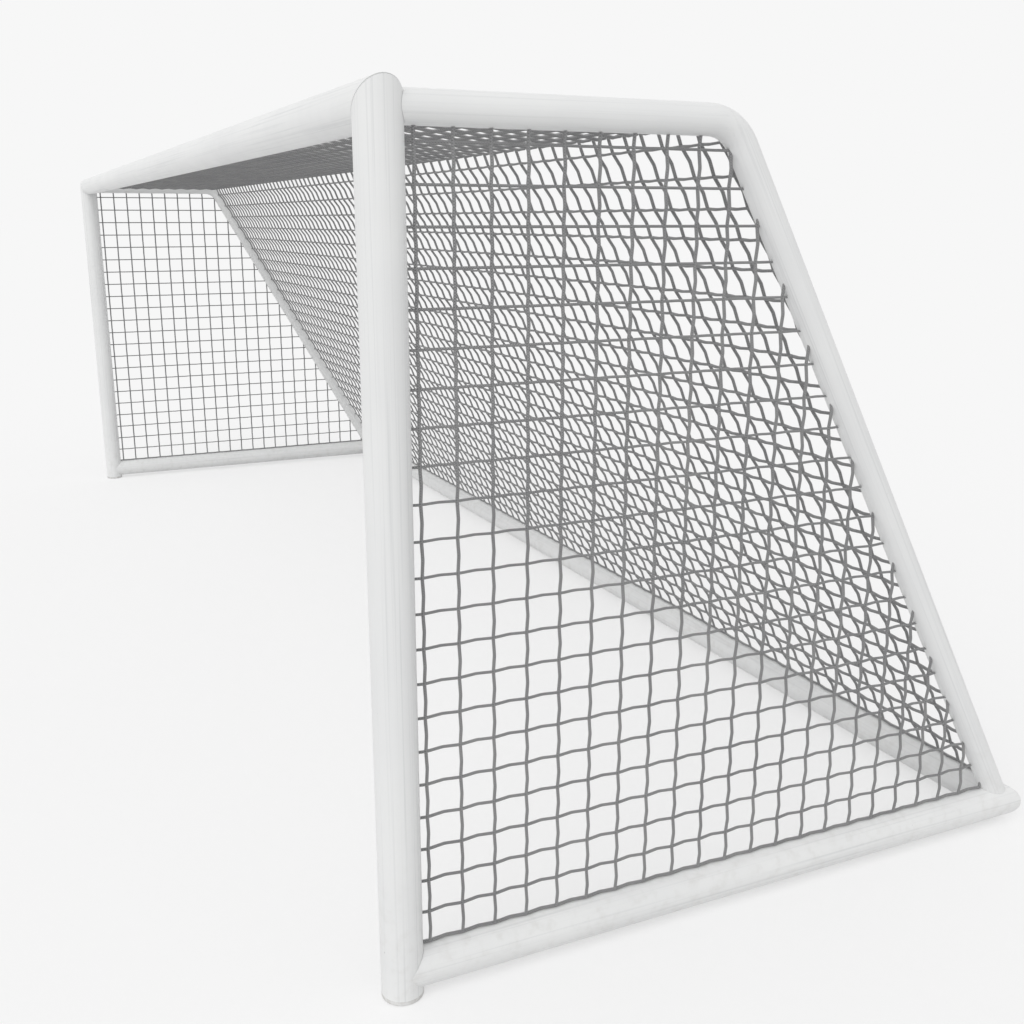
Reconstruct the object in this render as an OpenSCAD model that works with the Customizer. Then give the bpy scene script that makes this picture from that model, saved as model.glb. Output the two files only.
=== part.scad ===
// Small-sided hockey goal: a frame of mitred round tube with bent stays, put together
// with inserts and countersunk screws, and a cord net on its sides, top and back.
// The mouth faces -Y and +X is the right post. The origin is on the ground, at the
// centre of the footprint.

/* [Mouth] */
// Clear width between the posts
mouth_w = 3776; // [2400:1:4800]
// Clear height from the ground to the underside of the crossbar
mouth_h = 1220; // [1000:1:1500]

/* [Depth] */
// Depth at the ground, from the axis of the posts to the axis of the rear bar
base_depth = 1202; // [1000:1:1500]
// Depth at the top, from the axis of the crossbar to the corner of the stays
top_depth = 520; // [400:1:640]

/* [Frame tube] */
// Outer diameter of the posts, crossbar and ground bars
frame_od = 63.5; // [52:0.1:78]
// Wall of the frame tube
frame_wall = 3; // [2.4:0.1:3.8]
// Gap between the ground and the underside of the ground bars
ground_gap = 9.5; // [7:0.1:16]
// Width of the groove round each mitre
groove_w = 2; // [1:0.1:4]
// Depth of the groove round each mitre
groove_d = 1.2; // [0.6:0.1:1.5]

/* [Stays] */
// Outer diameter of the stays
stay_od = 44.5; // [37:0.1:54]
// Wall of the stay tube
stay_wall = 2.5; // [2:0.1:3]
// Drop of the stay axis below the crossbar axis
stay_drop = 2.5; // [0:0.1:5]
// Centreline radius of the bend in each stay
stay_bend = 67; // [55:1:90]

/* [Inserts and screws] */
// Clearance between pieces that seat on or in each other
fit = 0.3; // [0.2:0.05:0.4]
// Reach of an insert from the corner or from the face that it stands on
insert_len = 92; // [80:1:130]
// Distance from that corner or face to the screw
screw_at = 70; // [62:1:76]
// Wall of a corner elbow's hollow legs
elbow_wall = 5; // [4:0.1:7]
// Diameter of the nose of a stay plug
stay_nose_d = 20; // [16:0.1:24]
// Diameter of the nose of a ground bar plug
bar_nose_d = 24; // [18:0.1:28]
// Diameter of the countersunk screw heads
head_d = 15; // [12:0.1:16]
// Diameter of the screws
screw_d = 8; // [6:0.1:8]
// Overall length of the screws
screw_len = 18; // [14:0.5:20]

/* [Foot caps] */
// Height of the rim below the end of the post
cap_rim = 8; // [6:0.1:12]
// Radius of the rounded bottom edge
cap_edge = 3; // [1:0.1:4]
// Wall of the skirt inside the post
cap_wall = 3; // [2:0.1:5]

/* [Net] */
// Diameter of the net cord
cord_d = 5.2; // [4:0.1:6.5]
// Pitch of the cords along the depth of the side nets and of the top net
depth_pitch = 52.8; // [42:0.1:64]
// Distance from the post axis to the first of them
first_upright = 44.7; // [44:0.1:60]
// Pitch of the level cords in the side nets
side_row_pitch = 51.7; // [42:0.1:62]
// Pitch of the cords that run back over the top and down the back, from the middle out
column_pitch = 52.1; // [42:0.1:62]
// Pitch of the level cords in the back net
back_row_pitch = 53.2; // [42:0.1:64]
// Distance from the fold of the net to the first level cord in the back
first_row = 32.5; // [20:0.1:50]
// One cord in this many is drawn in the side nets
side_skip = 2; // [2:1:4]
// One cord in this many is drawn in the top and back nets
back_skip = 3; // [3:1:5]

/* [Hidden] */
$fn = 48;

paint = "white";
casting = "silver";
zinc = "gainsboro";
plastic = "whitesmoke";
cord_colour = "dimgray";

// Tubes and the places of their axes
frame_r = frame_od / 2;
frame_bore = frame_r - frame_wall;
stay_r = stay_od / 2;
stay_bore = stay_r - stay_wall;
half_w = mouth_w / 2 + frame_r;
bar_h = mouth_h + frame_r;
ground_h = ground_gap + frame_r;
stay_h = bar_h - stay_drop;
y_mouth = -base_depth / 2;
y_rear = base_depth / 2;
y_fold = y_mouth + top_depth;

// The stays: lean of the sloping run from upright, and the length that the bend takes up
lean = atan((y_rear - y_fold) / (stay_h - ground_h));
slope_len = (stay_h - ground_h) / cos(lean);
bend_cut = stay_bend * tan((90 - lean) / 2);
bend_lap = 1;
bend_thinning = 0.1;

// How far a coping cutter runs on past its mitre
mitre_past = 0.2;

// Inserts
elbow_r = frame_bore - fit;
elbow_leg_from = elbow_r + 1;
elbow_floor = 8;
web_half = elbow_r / 2;
web_inner = 0.84 * elbow_r;
web_outer = 0.78 * elbow_r;
web_chamfer = web_outer / 2;
web_lap = 4;
plug_r = stay_bore - fit;
stay_nose_r = stay_nose_d / 2;
stay_nose_from = 2;
bar_nose_r = bar_nose_d / 2;
bar_nose_reach = 8;
plug_wall = 5;
nose_root = 12;
cap_top = ground_h - bar_nose_r - 4;

// Screws, with their heads just under the surface of the tube
screw_gap = 0.15;
head_r = head_d / 2;
head_h = head_r - screw_d / 2;
socket_d = 5;
socket_h = 2.5;
shoulder = 1;

// Net: it ends just clear of the tubes, and its foot cords lie on the ground bars
cord_r = cord_d / 2;
net_half = half_w - stay_r - fit;
net_foot_h = ground_h + frame_r + fit + cord_r;
back_lean = atan((y_rear - y_fold) / (stay_h - net_foot_h));
back_len = (stay_h - net_foot_h) / cos(back_lean);
bend_steps = 8;

// Cutting blocks are larger than any tube that they cut
block = 4 * frame_od;

// ---- Helpers -------------------------------------------------------------------------

// Along X or Y. A turn moves the seam of a round tube, which keeps clear of holes and of
// what lands on the tube
module along_x(turn = 0) rotate([0, 90, 0]) rotate([0, 0, turn]) children();
module along_y(turn = 0) rotate([-90, 0, 0]) rotate([0, 0, turn]) children();

module both_sides() {
    children();
    mirror([1, 0, 0]) children();
}

// All that lies past a plane through the origin, on the side that +Z points to
module half_space() translate([-block / 2, -block / 2, 0]) cube(block);

function unit(v) = v / norm(v);
function turned(v, a) = [v[0] * cos(a) - v[1] * sin(a), v[0] * sin(a) + v[1] * cos(a)];

// Points of the arc of radius r that rounds corner p between points a and b
function bend(a, p, b, r, steps) =
    let (u = unit(a - p), v = unit(b - p), half = acos(u * v) / 2)
    let (centre = p + unit(u + v) * r / sin(half))
    let (start = p + u * r / tan(half) - centre)
    let (turn = (180 - 2 * half) * sign(cross(v, u)))
    [for (k = [0 : steps]) centre + turned(start, turn * k / steps)];

// ---- Outer shapes of the tubes, at radius r, for the right side ----------------------
// A shape runs on past its mitre by the length past, so that two of them together cut
// the end of a stay without a skin between them. A bar is the shape that stops short of
// its mitre for the groove, on one that is slimmer by the depth of the groove

// Upright tube, mitred at the top
module post_shape(r, past = 0) difference() {
    translate([half_w, y_mouth, cap_rim]) cylinder(h = bar_h + frame_od - cap_rim, r = r);
    translate([half_w, y_mouth, bar_h])
        rotate([0, -45, 0]) translate([0, 0, past]) half_space();
}

// Level tube over the mouth, mitred at both ends
module crossbar_shape(r, past = 0) difference() {
    translate([-half_w - frame_od, y_mouth, bar_h])
        along_x() cylinder(h = 2 * (half_w + frame_od), r = r);
    both_sides() translate([half_w, y_mouth, bar_h])
        rotate([0, 135, 0]) translate([0, 0, past]) half_space();
}

// Tube on the ground from the post to the rear corner, mitred there
module ground_shape(r, past = 0) difference() {
    translate([half_w, y_mouth, ground_h])
        along_y() cylinder(h = base_depth + frame_od, r = r);
    translate([half_w, y_rear, ground_h])
        rotate([-90, 0, 45]) translate([0, 0, past]) half_space();
}

// Tube on the ground across the back, mitred at both ends
module rear_shape(r, past = 0) difference() {
    translate([-half_w - frame_od, y_rear, ground_h])
        along_x(90) cylinder(h = 2 * (half_w + frame_od), r = r);
    both_sides() translate([half_w, y_rear, ground_h])
        rotate([-90, 0, -135]) translate([0, 0, past]) half_space();
}

module post_bar() {
    post_shape(frame_r, -groove_w / 2);
    post_shape(frame_r - groove_d);
}

module crossbar_bar() {
    crossbar_shape(frame_r, -groove_w / 2);
    crossbar_shape(frame_r - groove_d);
}

module side_bar() {
    ground_shape(frame_r, -groove_w / 2);
    ground_shape(frame_r - groove_d);
}

module rear_bar() {
    rear_shape(frame_r, -groove_w / 2);
    rear_shape(frame_r - groove_d);
}

// What the ends of a stay and of its plugs are coped to fit
module top_corner() {
    post_shape(frame_r + fit, mitre_past);
    crossbar_shape(frame_r + fit, mitre_past);
}

module rear_corner() {
    ground_shape(frame_r + fit, mitre_past);
    rear_shape(frame_r + fit, mitre_past);
}

// Stay: back from the crossbar, round the bend and down to the rear corner. The bent
// stretch is a hair slimmer than the runs, which lap it, as tube thins where it is bent
module stay_shape(r) {
    translate([half_w, y_mouth, stay_h])
        along_y() cylinder(h = top_depth - bend_cut + bend_lap, r = r);
    translate([half_w, y_fold - bend_cut, stay_h - stay_bend]) rotate([0, -90, 0])
        rotate_extrude(angle = 90 - lean) translate([stay_bend, 0]) circle(r - bend_thinning);
    on_slope() cylinder(h = slope_len - bend_cut + bend_lap, r = r);
}

// Local frame at the rear corner: +Z runs up the stay, +Y points away from the goal
module on_slope() translate([half_w, y_rear, ground_h]) rotate([lean, 0, 0]) children();

// ---- Screws --------------------------------------------------------------------------

// Countersunk screw: its head's face is at the origin and it points along -Z
module screw() difference() {
    union() {
        translate([0, 0, -head_h]) cylinder(h = head_h, r1 = screw_d / 2, r2 = head_r);
        translate([0, 0, -screw_len]) cylinder(h = screw_len - head_h, r = screw_d / 2);
    }
    translate([0, 0, -socket_h]) cylinder(h = socket_h + 1, d = socket_d / cos(30), $fn = 6);
}

// Room for the screw, open above its head
module screw_hole() {
    translate([0, 0, -head_h - screw_gap])
        cylinder(h = head_h + screw_gap, r1 = screw_d / 2 + screw_gap, r2 = head_r + screw_gap);
    translate([0, 0, -screw_len - shoulder])
        cylinder(h = screw_len, r = screw_d / 2 + screw_gap);
    cylinder(h = head_r, r = head_r + screw_gap);
}

// Puts a screw in the wall of a tube of radius r whose axis runs through the origin
module seated(r) translate([0, 0, sqrt(r * r - head_r * head_r) - screw_gap]) children();

// On the backs of the post and the crossbar, near their corner
module at_corner_screws() {
    translate([half_w, y_mouth, bar_h - screw_at]) along_y(45) seated(frame_r) children();
    translate([half_w - screw_at, y_mouth, bar_h]) along_y() seated(frame_r) children();
}

// Under the ground bar and the rear bar, near their corner
module at_rear_corner_screws() {
    translate([half_w, y_rear - screw_at, ground_h])
        rotate([180, 0, 0]) seated(frame_r) children();
    translate([half_w - screw_at, y_rear, ground_h])
        rotate([180, 0, 0]) seated(frame_r) children();
}

// On top of the stay behind the crossbar
module at_stay_top_screw()
    translate([half_w, y_mouth + screw_at, stay_h]) seated(stay_r) children();

// On the outside of the stay above the rear corner
module at_stay_foot_screw()
    on_slope() translate([0, 0, screw_at]) along_y() seated(stay_r) children();

// Under the ground bar behind the post
module at_ground_bar_screw()
    translate([half_w, y_mouth + screw_at, ground_h])
        rotate([180, 0, 0]) seated(frame_r) children();

// ---- Noses of the plugs, with gap all round ------------------------------------------

module stay_top_nose(gap)
    translate([half_w, y_mouth + stay_nose_from - gap, stay_h])
        along_y() cylinder(h = frame_r + nose_root - stay_nose_from, r = stay_nose_r + gap);

module stay_foot_nose(gap)
    on_slope() translate([0, 0, stay_nose_from - gap])
        cylinder(h = frame_r + nose_root - stay_nose_from, r = stay_nose_r + gap);

module bar_nose(gap)
    translate([half_w, y_mouth + frame_bore - bar_nose_reach, ground_h])
        along_y() cylinder(h = frame_wall + bar_nose_reach + nose_root, r = bar_nose_r + gap);

// ---- Frame, right side and middle ----------------------------------------------------

module right_post() color(paint) difference() {
    post_bar();
    translate([half_w, y_mouth, 0]) cylinder(h = bar_h + frame_od, r = frame_bore);
    stay_top_nose(fit);
    bar_nose(fit);
    at_corner_screws() screw_hole();
}

module right_post_foot_cap() color(plastic) translate([half_w, y_mouth, 0]) {
    rotate_extrude() polygon(concat(
        [[0, 0]],
        [for (a = [0 : 15 : 90])
            [frame_r - cap_edge + cap_edge * sin(a), cap_edge - cap_edge * cos(a)]],
        [[frame_r, cap_rim], [elbow_r, cap_rim], [elbow_r, cap_top],
         [elbow_r - cap_wall, cap_top], [elbow_r - cap_wall, cap_wall], [0, cap_wall]]
    ));
}

module crossbar() color(paint) difference() {
    crossbar_bar();
    translate([-half_w - frame_od, y_mouth, bar_h])
        along_x() cylinder(h = 2 * (half_w + frame_od), r = frame_bore);
    both_sides() {
        stay_top_nose(fit);
        at_corner_screws() screw_hole();
    }
}

// Cast elbow inside the top corner, with hollow legs and a socket for the stay's plug
module right_corner_elbow() color(casting) difference() {
    translate([half_w, y_mouth, bar_h]) rotate([90, 0, 0]) elbow();
    stay_top_nose(2 * fit);
    at_corner_screws() screw_hole();
}

// Cast elbow inside the rear corner
module right_rear_elbow() color(casting) difference() {
    translate([half_w, y_rear, ground_h]) elbow();
    stay_foot_nose(2 * fit);
    at_rear_corner_screws() screw_hole();
}

// Elbow with its corner at the origin: round legs along -X and -Y, closed where they
// meet a flat-sided web
module elbow() {
    web_end = elbow_leg_from + web_lap;
    translate([0, 0, -web_half]) linear_extrude(2 * web_half) polygon([
        [-web_end, -web_inner], [-web_inner, -web_inner], [-web_inner, -web_end],
        [web_outer, -web_end], [web_outer, web_outer - web_chamfer],
        [web_outer - web_chamfer, web_outer], [-web_end, web_outer]
    ]);
    elbow_legs() difference() {
        cylinder(h = insert_len - elbow_leg_from, r = elbow_r);
        translate([0, 0, -1])
            cylinder(h = insert_len - elbow_leg_from - elbow_floor + 1, r = elbow_r - elbow_wall);
    }
}

module elbow_legs() {
    translate([-insert_len, 0, 0]) along_x(180) children();
    translate([0, -insert_len, 0]) along_y(90) children();
}

module right_stay() color(paint) difference() {
    stay_shape(stay_r);
    stay_shape(stay_bore);
    top_corner();
    rear_corner();
    at_stay_top_screw() screw_hole();
    at_stay_foot_screw() screw_hole();
}

// Plug in the front end of the stay: coped to the corner, with a nose into its elbow
module right_stay_top_plug() color(casting) {
    difference() {
        translate([half_w, y_mouth, stay_h]) along_y() cylinder(h = insert_len, r = plug_r);
        top_corner();
        translate([half_w, y_mouth + frame_r + nose_root, stay_h])
            along_y() cylinder(h = insert_len, r = plug_r - plug_wall);
        at_stay_top_screw() screw_hole();
    }
    stay_top_nose(0);
}

// Plug in the lower end of the stay
module right_stay_foot_plug() color(casting) {
    difference() {
        on_slope() cylinder(h = insert_len, r = plug_r);
        rear_corner();
        on_slope() translate([0, 0, frame_r + nose_root])
            cylinder(h = insert_len, r = plug_r - plug_wall);
        at_stay_foot_screw() screw_hole();
    }
    stay_foot_nose(0);
}

module right_ground_bar() color(paint) difference() {
    side_bar();
    translate([half_w, y_mouth, ground_h])
        along_y() cylinder(h = base_depth + frame_od, r = frame_bore);
    post_shape(frame_r + fit);
    stay_foot_nose(fit);
    at_ground_bar_screw() screw_hole();
    at_rear_corner_screws() screw_hole();
}

// Plug in the front end of the ground bar: its nose passes through the wall of the post
module right_ground_bar_plug() color(casting) {
    difference() {
        translate([half_w, y_mouth, ground_h]) along_y() cylinder(h = insert_len, r = elbow_r);
        post_shape(frame_r + fit);
        translate([half_w, y_mouth + frame_r + nose_root, ground_h])
            along_y() cylinder(h = insert_len, r = elbow_r - plug_wall);
        at_ground_bar_screw() screw_hole();
    }
    bar_nose(0);
}

module rear_ground_bar() color(paint) difference() {
    rear_bar();
    translate([-half_w - frame_od, y_rear, ground_h])
        along_x(90) cylinder(h = 2 * (half_w + frame_od), r = frame_bore);
    both_sides() {
        stay_foot_nose(fit);
        at_rear_corner_screws() screw_hole();
    }
}

module corner_screws() color(zinc) both_sides() at_corner_screws() screw();
module rear_corner_screws() color(zinc) both_sides() at_rear_corner_screws() screw();
module ground_bar_screws() color(zinc) both_sides() at_ground_bar_screw() screw();

module stay_screws() color(zinc) both_sides() {
    at_stay_top_screw() screw();
    at_stay_foot_screw() screw();
}

// ---- Net -----------------------------------------------------------------------------

// Depth at height z of a line that runs under the sloping run of a stay, off from its axis
function slope_y(z, off) = y_fold + (stay_h - z) * tan(lean) - off / cos(lean);

// Outline in [y, z] of the room for a side net between the tubes and its foot cord
module side_outline() {
    front = y_mouth + frame_r + fit;
    low = net_foot_h + cord_r + fit;
    high = stay_h - stay_r - fit;
    top_corner = [slope_y(high, stay_r + fit), high];
    rear_corner = [slope_y(low, stay_r + fit), low];
    polygon(concat([[front, low], [front, high]],
        bend([front, high], top_corner, rear_corner, stay_bend - stay_r - fit, bend_steps),
        [rear_corner]));
}

// The last upright cord is the last that still crosses the lowest level cord
module right_side_net() color(cord_colour) {
    first_level = ground_h + frame_r + side_row_pitch;
    last_upright = slope_y(first_level + cord_d, stay_r + fit) - cord_r;
    translate([half_w - cord_r, 0, 0]) rotate([90, 0, 90]) linear_extrude(cord_d)
        intersection() {
            side_outline();
            union() {
                for (y = [y_mouth + first_upright : side_skip * depth_pitch : last_upright])
                    translate([y - cord_r, 0]) square([cord_d, bar_h]);
                for (z = [first_level : side_skip * side_row_pitch : stay_h])
                    translate([y_mouth, z - cord_r]) square([base_depth, cord_d]);
            }
        }
}

// Cords that run back over the top and down the back, from the outermost pair inwards
module net_columns(from, to) {
    outermost = floor((net_half - cord_r) / column_pitch);
    for (i = [outermost : -back_skip : 0], side = [-1, 1])
        translate([side * i * column_pitch - cord_r, from]) square([cord_d, to - from]);
}

module net_row(y) translate([-net_half, y - cord_r]) square([2 * net_half, cord_d]);

module top_net() color(cord_colour)
    translate([0, y_mouth, stay_h - cord_r]) linear_extrude(cord_d) {
        net_columns(frame_r + fit, top_depth - cord_r - fit);
        for (y = [first_upright : back_skip * depth_pitch : top_depth - cord_d])
            net_row(y);
    }

module back_net() color(cord_colour)
    translate([0, y_fold, stay_h]) rotate([90 + back_lean, 0, 0])
        translate([0, 0, -cord_r]) linear_extrude(cord_d) {
            net_columns(cord_r + fit - back_len, -cord_r - fit);
            for (d = [first_row : back_skip * back_row_pitch : back_len - cord_d])
                net_row(-d);
        }

module net_cord(length) cylinder(h = length, r = cord_r, $fn = 16);

module fold_cord() color(cord_colour)
    translate([-net_half, y_fold, stay_h]) along_x() net_cord(2 * net_half);

module rear_foot_cord() color(cord_colour)
    translate([-net_half, y_rear, net_foot_h]) along_x() net_cord(2 * net_half);

module right_side_foot_cord() color(cord_colour) {
    front = y_mouth + frame_r + fit;
    translate([half_w, front, net_foot_h])
        along_y() net_cord(slope_y(net_foot_h + cord_r, stay_r + fit) - front);
}

// ---- Left side -----------------------------------------------------------------------

module left_post() mirror([1, 0, 0]) right_post();
module left_post_foot_cap() mirror([1, 0, 0]) right_post_foot_cap();
module left_corner_elbow() mirror([1, 0, 0]) right_corner_elbow();
module left_stay() mirror([1, 0, 0]) right_stay();
module left_stay_top_plug() mirror([1, 0, 0]) right_stay_top_plug();
module left_stay_foot_plug() mirror([1, 0, 0]) right_stay_foot_plug();
module left_ground_bar() mirror([1, 0, 0]) right_ground_bar();
module left_ground_bar_plug() mirror([1, 0, 0]) right_ground_bar_plug();
module left_rear_elbow() mirror([1, 0, 0]) right_rear_elbow();
module left_side_net() mirror([1, 0, 0]) right_side_net();
module left_side_foot_cord() mirror([1, 0, 0]) right_side_foot_cord();

left_post();
right_post();
left_post_foot_cap();
right_post_foot_cap();
crossbar();
left_corner_elbow();
right_corner_elbow();
left_stay();
right_stay();
left_stay_top_plug();
right_stay_top_plug();
left_stay_foot_plug();
right_stay_foot_plug();
left_ground_bar();
right_ground_bar();
left_ground_bar_plug();
right_ground_bar_plug();
rear_ground_bar();
left_rear_elbow();
right_rear_elbow();
corner_screws();
rear_corner_screws();
stay_screws();
ground_bar_screws();
left_side_net();
right_side_net();
top_net();
back_net();
fold_cord();
left_side_foot_cord();
right_side_foot_cord();
rear_foot_cord();
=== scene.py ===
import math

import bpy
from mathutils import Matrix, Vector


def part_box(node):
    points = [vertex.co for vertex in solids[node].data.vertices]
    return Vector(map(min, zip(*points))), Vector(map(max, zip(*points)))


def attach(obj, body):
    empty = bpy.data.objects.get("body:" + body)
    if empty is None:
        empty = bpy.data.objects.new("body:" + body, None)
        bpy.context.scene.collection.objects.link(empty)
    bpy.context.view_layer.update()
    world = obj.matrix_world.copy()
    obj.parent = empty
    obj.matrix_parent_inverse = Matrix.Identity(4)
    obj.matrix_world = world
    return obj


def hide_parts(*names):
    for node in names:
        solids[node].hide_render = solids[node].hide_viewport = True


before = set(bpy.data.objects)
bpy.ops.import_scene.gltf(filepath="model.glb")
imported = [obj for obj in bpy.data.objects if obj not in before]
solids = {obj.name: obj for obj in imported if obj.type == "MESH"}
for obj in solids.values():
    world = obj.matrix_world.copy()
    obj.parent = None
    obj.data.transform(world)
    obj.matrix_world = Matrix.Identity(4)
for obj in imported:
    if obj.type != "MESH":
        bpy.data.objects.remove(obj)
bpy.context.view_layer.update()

# Small-sided hockey goal: a frame of white powder-coated tube with two bent stays, on small
# plastic feet, with a braided cord net on its sides, top and back. Everything is in metres,
# with +Z up, the mouth towards -Y and the origin on the ground under the middle.

# Camera, on a stand outside the right post and a little in front of the mouth. It stands at
# chest height and looks through the side net along the whole width of the goal.
bpy.ops.object.camera_add(location=(3.2975, -1.0617, 1.1137))
camera = bpy.context.object
camera.name = "camera"
ahead = Vector((-0.877855, 0.408036, -0.250753))
overhead = Vector((-0.227177, 0.106151, 0.968051))
facing = Matrix((ahead.cross(overhead), overhead, -ahead)).transposed()
camera.rotation_euler = facing.to_euler()
camera.data.sensor_width = 36
camera.data.lens = 39.56
camera.data.clip_start, camera.data.clip_end = 0.05, 1000
bpy.context.scene.camera = camera

# Studio: a plain pale floor that runs out to a pale backdrop of the same tone. One broad soft
# lamp stands behind the camera. Gloss shows the same pale room.
backdrop_tone = (0.93, 0.93, 0.93, 1)
floor_lit = (0.80, 0.80, 0.80, 1)
floor_shown = (0.47, 0.47, 0.47, 1)
floor_glow = 0.513


def seen_directly(tree):
    """A socket that is 1 for the camera and for what shines or shows through, else 0."""
    path = tree.nodes.new("ShaderNodeLightPath")
    shown = path.outputs["Is Camera Ray"]
    for kind in ("Is Glossy Ray", "Is Transmission Ray"):
        either = tree.nodes.new("ShaderNodeMath")
        either.operation = "MAXIMUM"
        tree.links.new(shown, either.inputs[0])
        tree.links.new(path.outputs[kind], either.inputs[1])
        shown = either.outputs["Value"]
    return shown


floor_size, below_feet = 900, 0.0002
bpy.ops.mesh.primitive_plane_add(size=floor_size, location=(0, 0, -below_feet))
floor = bpy.context.object
floor.name = "studio_floor"
floor_finish = bpy.data.materials.new("studio_floor_finish")
floor_finish.use_nodes = True
tree = floor_finish.node_tree
floor_shader = tree.nodes["Principled BSDF"]
shown = seen_directly(tree)
tone = tree.nodes.new("ShaderNodeMix")
tone.data_type = "RGBA"
tone.inputs["A"].default_value = floor_lit
tone.inputs["B"].default_value = floor_shown
tree.links.new(shown, tone.inputs["Factor"])
tree.links.new(tone.outputs["Result"], floor_shader.inputs["Base Color"])
glow = tree.nodes.new("ShaderNodeMath")
glow.operation = "MULTIPLY"
glow.inputs[1].default_value = floor_glow
tree.links.new(shown, glow.inputs[0])
tree.links.new(glow.outputs["Value"], floor_shader.inputs["Emission Strength"])
floor_shader.inputs["Emission Color"].default_value = (1, 1, 1, 1)
floor_shader.inputs["Roughness"].default_value = 1
floor_shader.inputs["Specular IOR Level"].default_value = 0
floor.data.materials.append(floor_finish)

studio = bpy.data.worlds.new("studio")
studio.use_nodes = True
bpy.context.scene.world = studio
tree = studio.node_tree
soft_light = tree.nodes["Background"]
soft_light.inputs["Color"].default_value = (1, 1, 1, 1)
soft_light.inputs["Strength"].default_value = 0.70
backdrop = tree.nodes.new("ShaderNodeBackground")
backdrop.inputs["Color"].default_value = backdrop_tone
backdrop.inputs["Strength"].default_value = 1
either = tree.nodes.new("ShaderNodeMixShader")
tree.links.new(seen_directly(tree), either.inputs["Fac"])
tree.links.new(soft_light.outputs["Background"], either.inputs[1])
tree.links.new(backdrop.outputs["Background"], either.inputs[2])
tree.links.new(either.outputs["Shader"], tree.nodes["World Output"].inputs["Surface"])

bpy.ops.object.light_add(type="SUN", location=(5, -4, 5))
lamp = bpy.context.object
lamp.name = "broad_lamp"
lamp.data.energy = 0.95
lamp.data.angle = math.radians(50)
lamp.rotation_euler = Vector((-0.50, 0.60, -0.62)).to_track_quat("-Z", "Y").to_euler()

bpy.context.scene.view_settings.view_transform = "Standard"

# Posts: two uprights of 63.5 mm steel tube, mitred at the top to meet the crossbar. They are
# drawn tube under a white powder coat, which dirt has greyed a little near the ground.


def powder_coat(name, turns, bend=(0, 0)):
    """White coat over drawn tube. Each turn lays the draw marks, which run along Z, along the
    tube. Of two turns, the second takes over where Y goes through bend."""
    coat = bpy.data.materials.new(name)
    coat.use_nodes = True
    tree = coat.node_tree
    shader = tree.nodes["Principled BSDF"]
    shader.inputs["Coat Weight"].default_value = 0.1
    shader.inputs["Coat Roughness"].default_value = 0.25
    place = tree.nodes.new("ShaderNodeTexCoord").outputs["Object"]

    def noise(scale, detail, vector=place):
        made = tree.nodes.new("ShaderNodeTexNoise")
        made.inputs["Scale"].default_value = scale
        made.inputs["Detail"].default_value = detail
        tree.links.new(vector, made.inputs["Vector"])
        return made.outputs["Fac"]

    def spread(value, low, high, to_low, to_high):
        made = tree.nodes.new("ShaderNodeMapRange")
        made.interpolation_type = "SMOOTHSTEP"
        for socket, number in zip(("From Min", "From Max", "To Min", "To Max"),
                                  (low, high, to_low, to_high)):
            made.inputs[socket].default_value = number
        tree.links.new(value, made.inputs["Value"])
        return made.outputs["Result"]

    def product(one, other):
        made = tree.nodes.new("ShaderNodeMath")
        made.operation = "MULTIPLY"
        tree.links.new(one, made.inputs[0])
        tree.links.new(other, made.inputs[1])
        return made.outputs["Value"]

    def blend(share, one, other):
        made = tree.nodes.new("ShaderNodeMix")
        made.data_type = "RGBA"
        tree.links.new(share, made.inputs["Factor"])
        for socket, colour in (("A", one), ("B", other)):
            if isinstance(colour, tuple):
                made.inputs[socket].default_value = colour
            else:
                tree.links.new(colour, made.inputs[socket])
        return made.outputs["Result"]

    spot = tree.nodes.new("ShaderNodeSeparateXYZ")
    tree.links.new(place, spot.inputs["Vector"])
    marks = []
    for turn in turns:
        laid = tree.nodes.new("ShaderNodeMapping")
        laid.vector_type = "TEXTURE"
        laid.inputs["Rotation"].default_value = turn
        laid.inputs["Scale"].default_value = (0.0035, 0.0035, 0.5)
        tree.links.new(place, laid.inputs["Vector"])
        marks.append(noise(1, 3, laid.outputs["Vector"]))
    streaks = marks[0]
    if len(marks) == 2:
        over = tree.nodes.new("ShaderNodeMix")
        tree.links.new(spread(spot.outputs["Y"], *bend, 0, 1), over.inputs["Factor"])
        tree.links.new(marks[0], over.inputs["A"])
        tree.links.new(marks[1], over.inputs["B"])
        streaks = over.outputs["Result"]

    fresh, chalky = (0.88, 0.885, 0.88, 1), (0.83, 0.835, 0.835, 1)
    draw_mark, dirt, bare_steel = ((0.66, 0.67, 0.675, 1), (0.58, 0.56, 0.53, 1),
                                   (0.54, 0.54, 0.55, 1))
    splash_height = 0.3
    white = blend(spread(noise(3.2, 4), 0.3, 0.7, 0, 1), fresh, chalky)
    white = blend(spread(streaks, 0.5, 0.8, 0, 0.6), white, draw_mark)
    low_down = product(spread(spot.outputs["Z"], 0.0, splash_height, 1, 0),
                       spread(noise(55, 7), 0.45, 0.8, 0, 0.28))
    white = blend(low_down, white, dirt)
    nicks = product(spread(noise(140, 2), 0.74, 0.78, 0, 0.7), spread(noise(9, 3), 0.5, 0.62, 0, 1))
    white = blend(nicks, white, bare_steel)
    tree.links.new(white, shader.inputs["Base Color"])
    tree.links.new(spread(noise(38, 4), 0.3, 0.7, 0.32, 0.46), shader.inputs["Roughness"])

    ripples = tree.nodes.new("ShaderNodeBump")
    ripples.inputs["Strength"].default_value = 0.35
    ripples.inputs["Distance"].default_value = 0.0006
    tree.links.new(streaks, ripples.inputs["Height"])
    peel = tree.nodes.new("ShaderNodeBump")
    peel.inputs["Strength"].default_value = 0.12
    peel.inputs["Distance"].default_value = 0.0005
    tree.links.new(noise(260, 2), peel.inputs["Height"])
    tree.links.new(ripples.outputs["Normal"], peel.inputs["Normal"])
    tree.links.new(peel.outputs["Normal"], shader.inputs["Normal"])
    return coat


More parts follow.
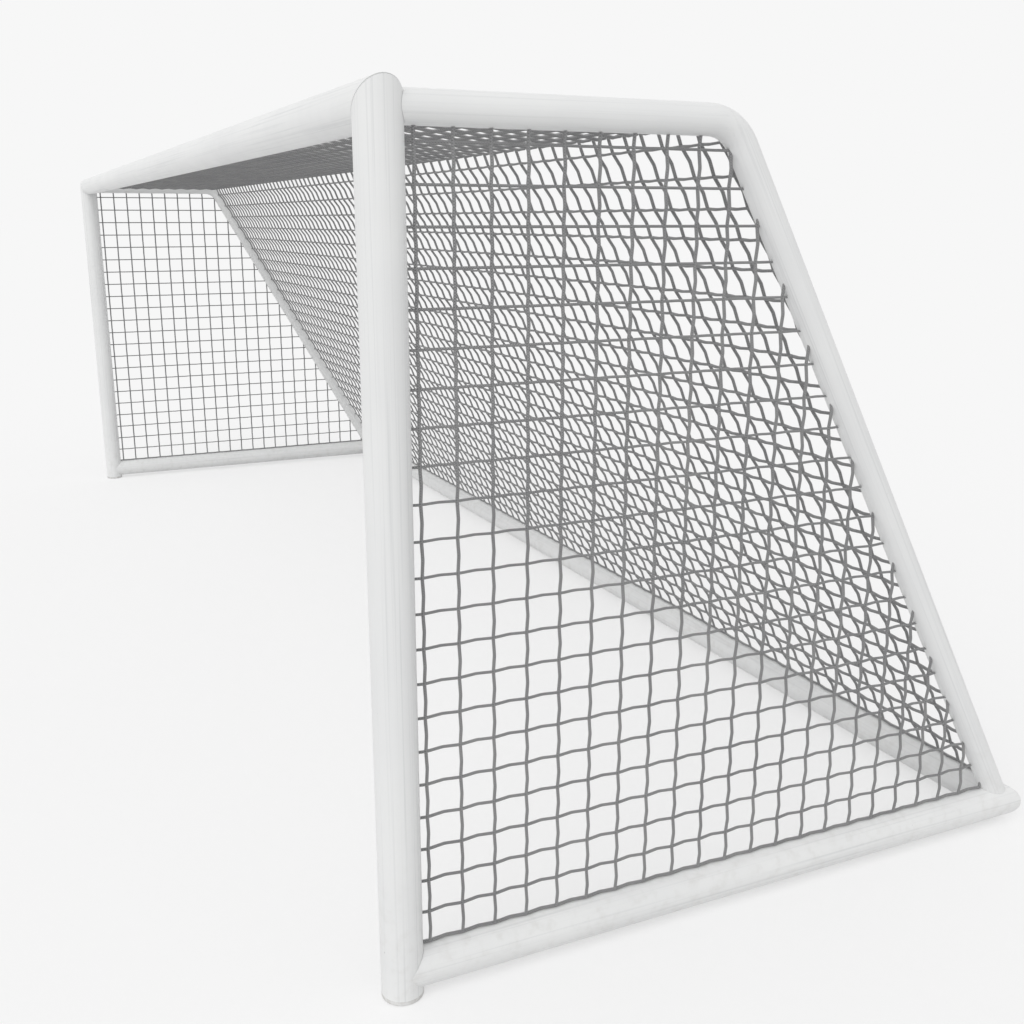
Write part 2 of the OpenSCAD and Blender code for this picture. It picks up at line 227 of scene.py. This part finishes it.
def finish_solid(name, material):
    """Gives a solid of the frame its finish, whatever slots it came with."""
    mesh = solids[name].data
    if not mesh.materials:
        mesh.materials.append(material)
    for number in range(len(mesh.materials)):
        mesh.materials[number] = material


quarter = math.pi / 2
post_coat = powder_coat("post_coat", [(0, 0, 0)])
for name in ("left_post", "right_post"):
    finish_solid(name, post_coat)

# Crossbar: the same tube over the mouth, mitred at both ends. Its draw marks run across the
# goal.
finish_solid("crossbar", powder_coat("crossbar_coat", [(0, quarter, 0)]))

# Stays: lighter 44.5 mm tube, level behind the crossbar and then bent down to the rear
# corners, coped to the tubes that they meet.
stay_lean = math.radians(29.45)
bend_from, bend_to = -0.115, -0.075
stay_coat = powder_coat("stay_coat", [(quarter, 0, 0), (stay_lean, 0, 0)], (bend_from, bend_to))
for name in ("left_stay", "right_stay"):
    finish_solid(name, stay_coat)

# Ground bars: two along the sides and one across the back, of the posts' tube, mitred at the
# rear corners and coped to the posts in front.
side_bar_coat = powder_coat("side_bar_coat", [(quarter, 0, 0)])
for name in ("left_ground_bar", "right_ground_bar"):
    finish_solid(name, side_bar_coat)
finish_solid("rear_ground_bar", powder_coat("rear_bar_coat", [(0, quarter, 0)]))

# Foot caps: moulded off-white plastic with a fine moulded grain, pushed into the posts. Their
# round edge is scuffed where it meets the ground.
foot_plastic = bpy.data.materials.new("foot_plastic")
foot_plastic.use_nodes = True
tree = foot_plastic.node_tree
shader = tree.nodes["Principled BSDF"]
place = tree.nodes.new("ShaderNodeTexCoord").outputs["Object"]
scuffs = tree.nodes.new("ShaderNodeTexNoise")
scuffs.inputs["Scale"].default_value = 120
scuffs.inputs["Detail"].default_value = 5
tree.links.new(place, scuffs.inputs["Vector"])
shades = tree.nodes.new("ShaderNodeValToRGB")
shades.color_ramp.elements[0].position, shades.color_ramp.elements[1].position = 0.38, 0.62
shades.color_ramp.elements[0].color = (0.78, 0.78, 0.77, 1)
shades.color_ramp.elements[1].color = (0.62, 0.61, 0.59, 1)
tree.links.new(scuffs.outputs["Fac"], shades.inputs["Fac"])
tree.links.new(shades.outputs["Color"], shader.inputs["Base Color"])
shader.inputs["Roughness"].default_value = 0.55
grain = tree.nodes.new("ShaderNodeTexVoronoi")
grain.inputs["Scale"].default_value = 900
tree.links.new(place, grain.inputs["Vector"])
moulded = tree.nodes.new("ShaderNodeBump")
moulded.inputs["Strength"].default_value = 0.25
moulded.inputs["Distance"].default_value = 0.0003
tree.links.new(grain.outputs["Distance"], moulded.inputs["Height"])
tree.links.new(moulded.outputs["Normal"], shader.inputs["Normal"])
for name in ("left_post_foot_cap", "right_post_foot_cap"):
    finish_solid(name, foot_plastic)

# Elbows and plugs: sand-cast aluminium inserts that hold the tubes together from inside, with
# the dull pebbled skin of a casting.


def bare_metal(name, scale, detail, dark, light, dullness):
    """Metal clouded from dark to light, and from the first to the second dullness. Also gives
    the clouds."""
    metal = bpy.data.materials.new(name)
    metal.use_nodes = True
    tree = metal.node_tree
    shader = tree.nodes["Principled BSDF"]
    shader.inputs["Metallic"].default_value = 1
    clouds = tree.nodes.new("ShaderNodeTexNoise")
    clouds.inputs["Scale"].default_value = scale
    clouds.inputs["Detail"].default_value = detail
    tree.links.new(tree.nodes.new("ShaderNodeTexCoord").outputs["Object"],
                   clouds.inputs["Vector"])
    shades = tree.nodes.new("ShaderNodeValToRGB")
    shades.color_ramp.elements[0].color = dark
    shades.color_ramp.elements[1].color = light
    tree.links.new(clouds.outputs["Fac"], shades.inputs["Fac"])
    tree.links.new(shades.outputs["Color"], shader.inputs["Base Color"])
    dull = tree.nodes.new("ShaderNodeMapRange")
    dull.inputs["To Min"].default_value, dull.inputs["To Max"].default_value = dullness
    tree.links.new(clouds.outputs["Fac"], dull.inputs["Value"])
    tree.links.new(dull.outputs["Result"], shader.inputs["Roughness"])
    return metal, clouds.outputs["Fac"]


casting, sand = bare_metal("cast_aluminium", 600, 4, (0.52, 0.52, 0.53, 1),
                           (0.74, 0.74, 0.75, 1), (0.4, 0.65))
tree = casting.node_tree
pebbled = tree.nodes.new("ShaderNodeBump")
pebbled.inputs["Strength"].default_value = 0.5
pebbled.inputs["Distance"].default_value = 0.0005
tree.links.new(sand, pebbled.inputs["Height"])
tree.links.new(pebbled.outputs["Normal"], tree.nodes["Principled BSDF"].inputs["Normal"])
for name in ("corner_elbow", "rear_elbow", "stay_top_plug", "stay_foot_plug", "ground_bar_plug"):
    finish_solid("left_" + name, casting)
    finish_solid("right_" + name, casting)

# Screws: zinc-plated steel with countersunk heads and a hexagon socket, in the tubes over the
# inserts. The plating is clouded and faintly blue.
plating, _ = bare_metal("zinc_plate", 350, 3, (0.50, 0.52, 0.56, 1), (0.72, 0.73, 0.76, 1),
                        (0.22, 0.42))
for name in ("corner_screws", "rear_corner_screws", "stay_screws", "ground_bar_screws"):
    finish_solid(name, plating)

# Side nets: square mesh of braided cord, 5.2 mm round in the uprights and pulled flat to
# 4 by 6 mm in the level cords, which are 51.6 mm apart. Between crossings the level cords bow
# inwards and the uprights outwards, as they pass round each other.
cord_d = 0.0052
level_deep, level_wide = 0.0060, 0.0040
kinks = (0.49, 0.55)
sunk = 0.001
weld = 0.0002


def braided_cord(name, dark, light):
    """Plaited polypropylene cord: two sets of strands wound across each other."""
    cord = bpy.data.materials.new(name)
    cord.use_nodes = True
    tree = cord.node_tree
    shader = tree.nodes["Principled BSDF"]
    shader.inputs["Roughness"].default_value = 0.72
    shader.inputs["Sheen Weight"].default_value = 0.25
    shader.inputs["Specular IOR Level"].default_value = 0.35
    along_cord = tree.nodes.new("ShaderNodeUVMap").outputs["UV"]
    strands = []
    for slant in (8.8, -8.8):
        winding = tree.nodes.new("ShaderNodeMapping")
        winding.inputs["Scale"].default_value = (1.885, slant, 1)
        tree.links.new(along_cord, winding.inputs["Vector"])
        strand = tree.nodes.new("ShaderNodeTexWave")
        strand.bands_direction = "DIAGONAL"
        strand.inputs["Scale"].default_value = 1
        tree.links.new(winding.outputs["Vector"], strand.inputs["Vector"])
        strands.append(strand.outputs["Fac"])
    plait = tree.nodes.new("ShaderNodeMath")
    plait.operation = "MAXIMUM"
    for number in (0, 1):
        tree.links.new(strands[number], plait.inputs[number])
    # The plait is coloured from dark in the grooves between the strands to light on top of them:
    # the dark is painted shade in the grooves.
    shades = tree.nodes.new("ShaderNodeValToRGB")
    shades.color_ramp.elements[0].color = dark
    shades.color_ramp.elements[1].color = light
    tree.links.new(plait.outputs["Value"], shades.inputs["Fac"])
    weather = tree.nodes.new("ShaderNodeTexNoise")
    weather.inputs["Scale"].default_value = 7
    weather.inputs["Detail"].default_value = 5
    tree.links.new(tree.nodes.new("ShaderNodeTexCoord").outputs["Object"],
                   weather.inputs["Vector"])
    faded = tree.nodes.new("ShaderNodeMix")
    faded.data_type = "RGBA"
    faded.inputs["B"].default_value = (0.42, 0.42, 0.41, 1)
    some = tree.nodes.new("ShaderNodeMapRange")
    some.inputs["From Min"].default_value, some.inputs["From Max"].default_value = 0.4, 0.8
    some.inputs["To Max"].default_value = 0.35
    tree.links.new(weather.outputs["Fac"], some.inputs["Value"])
    tree.links.new(some.outputs["Result"], faded.inputs["Factor"])
    tree.links.new(shades.outputs["Color"], faded.inputs["A"])
    tree.links.new(faded.outputs["Result"], shader.inputs["Base Color"])
    raised = tree.nodes.new("ShaderNodeBump")
    raised.inputs["Strength"].default_value = 0.8
    raised.inputs["Distance"].default_value = 0.0006
    tree.links.new(plait.outputs["Value"], raised.inputs["Height"])
    tree.links.new(raised.outputs["Normal"], shader.inputs["Normal"])
    return cord


def cord_length(length, bow, deep, wide, sides):
    """A cord from the origin along +X to the next crossing, deep along Z and wide along Y. It
    bows by bow along +Z between its two kinks."""
    bpy.ops.object.select_all(action="DESELECT")
    bpy.ops.mesh.primitive_cylinder_add(
        vertices=sides, radius=0.5, depth=length, end_fill_type="NOTHING",
        location=(length / 2, 0, 0), rotation=(0, math.pi / 2, 0),
        scale=(deep, wide, 1))
    bpy.ops.object.transform_apply()
    cord = bpy.context.object
    bpy.ops.object.mode_set(mode="EDIT")
    for share in kinks:
        bpy.ops.mesh.select_all(action="SELECT")
        bpy.ops.mesh.bisect(plane_co=(share * length, 0, 0), plane_no=(1, 0, 0))
    bpy.ops.mesh.select_all(action="DESELECT")
    bpy.ops.object.mode_set(mode="OBJECT")
    for point in cord.data.vertices:
        point.select = 0.3 * length < point.co.x < 0.7 * length
    bpy.ops.object.mode_set(mode="EDIT")
    bpy.ops.transform.translate(value=(0, 0, bow))
    bpy.ops.object.mode_set(mode="OBJECT")
    return cord


def repeat(piece, step, count):
    """Lays copies of a piece one step apart and joins them where they meet."""
    rank = piece.modifiers.new("rank", "ARRAY")
    rank.use_relative_offset = False
    rank.use_constant_offset = True
    rank.constant_offset_displace = step
    rank.count = count
    rank.use_merge_vertices = True
    rank.merge_threshold = weld
    bpy.ops.object.modifier_apply(modifier=rank.name)


def net_sheet(name, pitch, counts, bows, place, sides, fuller):
    """Meshes of net in the local XY plane of place, counted out from its origin. A cord of
    few sides is made fuller, to look as stout as a round one."""
    level = cord_length(pitch[0], bows[0], fuller * level_deep, fuller * level_wide, sides)
    upright = cord_length(pitch[1], bows[1], fuller * cord_d, fuller * cord_d, sides)
    upright.rotation_euler.z = math.pi / 2
    bpy.ops.object.transform_apply()
    level.select_set(True)
    bpy.ops.object.join()
    net = bpy.context.object
    net.name = name
    repeat(net, (pitch[0], 0, 0), counts[0])
    repeat(net, (0, pitch[1], 0), counts[1])
    net.matrix_world = place
    bpy.ops.object.transform_apply()
    return net


def cut_to_outline(net, edges):
    """Cuts a net off at each (point, direction outwards) and closes the cut cord ends."""
    bpy.ops.object.mode_set(mode="EDIT")
    for point, outwards in edges:
        bpy.ops.mesh.select_all(action="SELECT")
        bpy.ops.mesh.bisect(plane_co=point, plane_no=outwards, clear_outer=True)
    bpy.ops.mesh.select_all(action="SELECT")
    bpy.ops.mesh.fill_holes(sides=12)
    bpy.ops.mesh.normals_make_consistent(inside=False)
    bpy.ops.object.mode_set(mode="OBJECT")
    bpy.ops.object.shade_smooth_by_angle(angle=math.radians(75))


def middle(name):
    low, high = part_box(name)
    return (low + high) / 2


post = middle("right_post")
post_r = (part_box("right_post")[1].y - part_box("right_post")[0].y) / 2
stay_r = (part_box("right_stay")[1].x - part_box("right_stay")[0].x) / 2
side_x, post_y = post.x, post.y
fold, rear = middle("fold_cord"), middle("rear_foot_cord")
rear_bar = middle("rear_ground_bar")
# The darker of the net cord's two tones is painted shade for the grooves between its strands.
net_cord = braided_cord("net_cord", (0.10, 0.10, 0.104, 1), (0.31, 0.31, 0.315, 1))

first_upright, depth_pitch, side_pitch = 0.0446, 0.05275, 0.0516
side_uprights, side_rows, side_bows = 24, 24, (-0.0041, 0.0038)
lowest_row = rear_bar.z + post_r + 0.0008
right_net = net_sheet(
    "right_side_netting", (depth_pitch, side_pitch), (side_uprights, side_rows), side_bows,
    Matrix(((0, 0, 1, side_x), (1, 0, 0, post_y + first_upright - depth_pitch),
            (0, 1, 0, lowest_row), (0, 0, 0, 1))), sides=8, fuller=1.0)
lean = math.atan2(rear_bar.y - fold.y, fold.z - rear_bar.z)
bend_r, bend_cuts = 0.067, 6
bend_middle = Vector((0, fold.y - bend_r * math.tan((math.pi / 2 - lean) / 2), fold.z - bend_r))
edges = [(Vector((0, post_y + post_r - sunk, 0)), (0, -1, 0)),
         (Vector((0, 0, rear.z)), (0, 0, -1))]
for number in range(bend_cuts):
    turn = math.pi / 2 - (math.pi / 2 - lean) * number / (bend_cuts - 1)
    outwards = Vector((0, math.cos(turn), math.sin(turn)))
    edges.append((bend_middle + outwards * (bend_r - stay_r + sunk), outwards))
cut_to_outline(right_net, edges)
right_net.data.materials.append(net_cord)

left_net = right_net.copy()
left_net.data = right_net.data.copy()
left_net.name = "left_side_netting"
bpy.context.collection.objects.link(left_net)
bpy.ops.object.select_all(action="DESELECT")
left_net.select_set(True)
bpy.context.view_layer.objects.active = left_net
left_net.scale.x = -1
bpy.ops.object.transform_apply()
bpy.ops.object.mode_set(mode="EDIT")
bpy.ops.mesh.select_all(action="SELECT")
bpy.ops.mesh.normals_make_consistent(inside=False)
bpy.ops.object.mode_set(mode="OBJECT")
for net, node in ((right_net, "right_side_net"), (left_net, "left_side_net")):
    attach(net, "root")
    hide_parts(node)

# Top net: the same cord from the crossbar back to the fold, between the level runs of the
# stays. Its cords that run back are 52.2 mm apart and hang down between the crossings.
column_pitch, off_middle = 0.0522, 0.0055
columns = 2 * math.floor((side_x - stay_r) / column_pitch) + 2
left_end = -column_pitch * columns / 2 - off_middle
top_rows, top_bows = 11, (0, -0.0040)
front_row = post_y + 0.0036
top_net = net_sheet(
    "top_netting", (column_pitch, depth_pitch), (columns + 1, top_rows), top_bows,
    Matrix.Translation((left_end, front_row, fold.z)), sides=6, fuller=1.1)
reach = side_x - stay_r + sunk
cut_to_outline(top_net, [
    (Vector((0, post_y + post_r - sunk, 0)), (0, -1, 0)), (fold, (0, 1, 0)),
    (Vector((reach, 0, 0)), (1, 0, 0)), (Vector((-reach, 0, 0)), (-1, 0, 0))])
top_net.data.materials.append(net_cord)
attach(top_net, "root")
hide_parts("top_net")

# Back net: from the fold down to the rear bar, on a slope of about 30 degrees. Its cords that
# run down are those of the top net, and its level cords are 53.2 mm apart.
row_pitch, first_row = 0.05317, 0.03015
back_rows, back_bows = 28, (-0.00265, 0.0035)
fall = (rear - fold).normalized()
outwards = Vector((1, 0, 0)).cross(fall)
corner = fold + fall * (first_row - row_pitch)
back_net = net_sheet(
    "back_netting", (column_pitch, row_pitch), (columns + 1, back_rows), back_bows,
    Matrix(((1, 0, 0, left_end), (0, fall.y, outwards.y, corner.y),
            (0, fall.z, outwards.z, corner.z), (0, 0, 0, 1))), sides=6, fuller=1.1)
stay_offset = (Vector((0, rear_bar.y, rear_bar.z)) - rear).dot(outwards)
foot_reach = side_x - math.sqrt(stay_r ** 2 - stay_offset ** 2) + sunk
slant = (rear - fold).length
side_way = Vector((slant, 0, 0)) - fall * (foot_reach - reach)
cut_to_outline(back_net, [
    (fold, -fall), (rear, fall), (fold + Vector((reach, 0, 0)), side_way),
    (fold - Vector((reach, 0, 0)), Vector((-side_way.x, side_way.y, side_way.z)))])
back_net.data.materials.append(net_cord)
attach(back_net, "root")
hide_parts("back_net")

# Fold and foot cords: single cords of the same braid. One lies along the fold between the top
# and back nets, one on each side bar and one on the rear bar, where the nets end.
single_bow = 0.0035


def single_cord(name, node, pitch, first, start, end, sideways):
    """A cord from start to end. Its crossings are pitch apart, counted from first before the
    start, and it bows towards sideways between them."""
    run = first + (end - start).length
    cord = cord_length(pitch, single_bow, cord_d, cord_d, sides=8)
    cord.name = name
    cord.data.materials.append(net_cord)
    repeat(cord, (pitch, 0, 0), math.ceil(run / pitch))
    ahead = (end - start).normalized()
    across = sideways.cross(ahead)
    cord.matrix_world = Matrix((ahead, across, sideways)).transposed().to_4x4()
    cord.location = start - ahead * first
    bpy.ops.object.transform_apply()
    cut_to_outline(cord, [(start, -ahead), (end, ahead)])
    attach(cord, "root")
    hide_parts(node)


half_run = Vector((side_x - stay_r, 0, 0))
first_crossing = -half_run.x - left_end
single_cord("fold_cording", "fold_cord", column_pitch, first_crossing,
            fold - half_run, fold + half_run, -(outwards + Vector((0, 0, 1))).normalized())
single_cord("rear_foot_cording", "rear_foot_cord", column_pitch, first_crossing,
            rear - half_run, rear + half_run, Vector((0, -1, 0)))
for side, sign in (("right", 1), ("left", -1)):
    low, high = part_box(side + "_side_foot_cord")
    single_cord(side + "_foot_cording", side + "_side_foot_cord", depth_pitch,
                low.y - post_y - first_upright + depth_pitch,
                Vector((sign * side_x, low.y, rear.z)), Vector((sign * side_x, high.y, rear.z)),
                Vector((-sign, 0, 0)))
